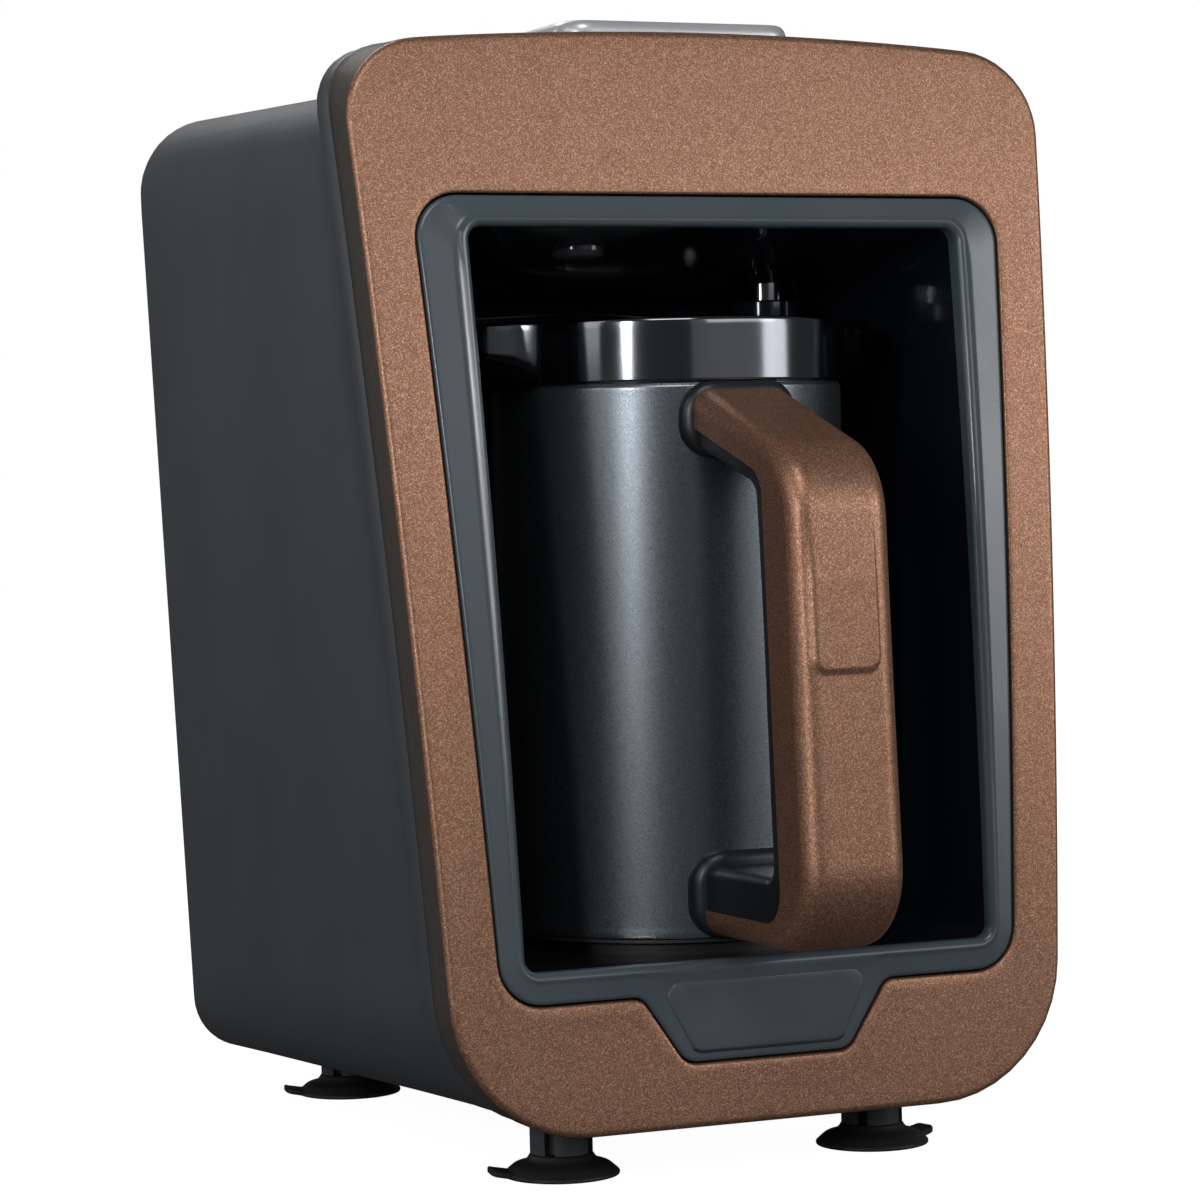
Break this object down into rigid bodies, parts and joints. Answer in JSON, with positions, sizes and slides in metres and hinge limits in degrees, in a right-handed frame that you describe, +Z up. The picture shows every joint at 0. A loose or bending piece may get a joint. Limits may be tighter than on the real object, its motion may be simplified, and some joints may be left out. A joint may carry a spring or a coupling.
{
  "type": "electric turkish coffee maker",
  "caption": "Electric Turkish coffee maker with a leaning copper front, a niche that docks a handled pot, a push button on top and suction feet.",
  "frame": {"origin": "middle of the footprint on the table, handle included", "axes": "+X right as seen from the front, +Y to the back, +Z up; the handle points to -Y"},
  "size_m": [0.1652, 0.2248, 0.2502],
  "materials": {
    "body_shell": "satin dark grey moulding",
    "copper_front": "copper-brown metallic flake lacquer",
    "copper_grip": "copper-brown metallic flake lacquer",
    "bezel": "satin dark grey moulding",
    "badge": "bare plate, satin",
    "niche": "black, polished",
    "sensor": "black, polished",
    "lens": "clear light window",
    "foot_rubber": "soft black rubber",
    "pad_rubber": "black silicone pad",
    "seal": "pale silicone",
    "screw_steel": "zinc plated",
    "spring_steel": "drawn wire",
    "control_chrome": "satin chrome",
    "button_chrome": "satin chrome",
    "light_ring": "translucent white",
    "switch_black": "black moulding",
    "board_green": "green circuit board",
    "transformer_core": "wound core with yellow tape",
    "relay_case": "blue moulding",
    "capacitor_can": "sleeved can",
    "white_moulding": "off-white moulding",
    "mains_wire": "brown insulation",
    "dock_wire": "red insulation",
    "gland_black": "black grommet",
    "socket_black": "heat-proof black moulding",
    "pin_brass": "brass",
    "pot_body": "dark grey metallic lacquer",
    "pot_steel": "stainless steel",
    "rim_black": "black, polished",
    "core_black": "black, satin",
    "element_sheath": "sheathed element",
    "spreader": "aluminium",
    "thermostat": "ceramic"
  },
  "bodies": {
    "machine": {"rear_housing": "body_shell", "rear_panel": "body_shell", "base_plate": "body_shell", "front_fascia": "copper_front", "bezel_frame": "bezel", "badge_plate": "badge", "niche_liner": "niche", "rim_sensor": "sensor", "niche_light_lens": "lens", "front_left_foot": "foot_rubber", "front_right_foot": "foot_rubber", "rear_left_foot": "foot_rubber", "rear_right_foot": "foot_rubber", "dock_pad": "pad_rubber", "case_screws": "screw_steel", "fascia_screws": "screw_steel", "panel_screws": "screw_steel", "board_screws": "screw_steel", "button_spring": "spring_steel", "control_plate": "control_chrome", "button_light_ring": "light_ring", "tact_switch": "switch_black", "buzzer": "switch_black", "control_board": "board_green", "main_board": "board_green", "light_board": "board_green", "transformer": "transformer_core", "power_relay": "relay_case", "filter_capacitor": "capacitor_can", "fuse_holder": "white_moulding", "terminal_block": "white_moulding", "cord_clamp": "white_moulding", "mains_wires": "mains_wire", "dock_wires": "dock_wire", "cord_gland": "gland_black", "dock_socket": "socket_black", "dock_pins": "pin_brass"},
    "pot": {"pot_shell": "pot_body", "pot_vessel": "pot_steel", "pot_rim_band": "rim_black", "pot_seal": "seal", "pot_base_cover": "socket_black", "heating_element": "element_sheath", "heat_spreader": "spreader", "pot_thermostat": "thermostat", "pot_plug": "socket_black", "handle_cover": "copper_grip", "handle_core": "core_black", "handle_screws": "screw_steel"},
    "button": {"power_button": "button_chrome"}
  },
  "joints": [
    {"name": "pot_pull", "type": "slide", "parent": "machine", "child": "pot", "axis": [0, -1, 0], "range_m": [0, 0.14]},
    {"name": "button_press", "type": "slide", "parent": "machine", "child": "button", "axis": [0, 0, -1], "range_m": [0, 0.0015], "stiffness_N_per_m": 800, "springref_m": -0.0006, "deforming": ["button_spring"]}
  ]
}
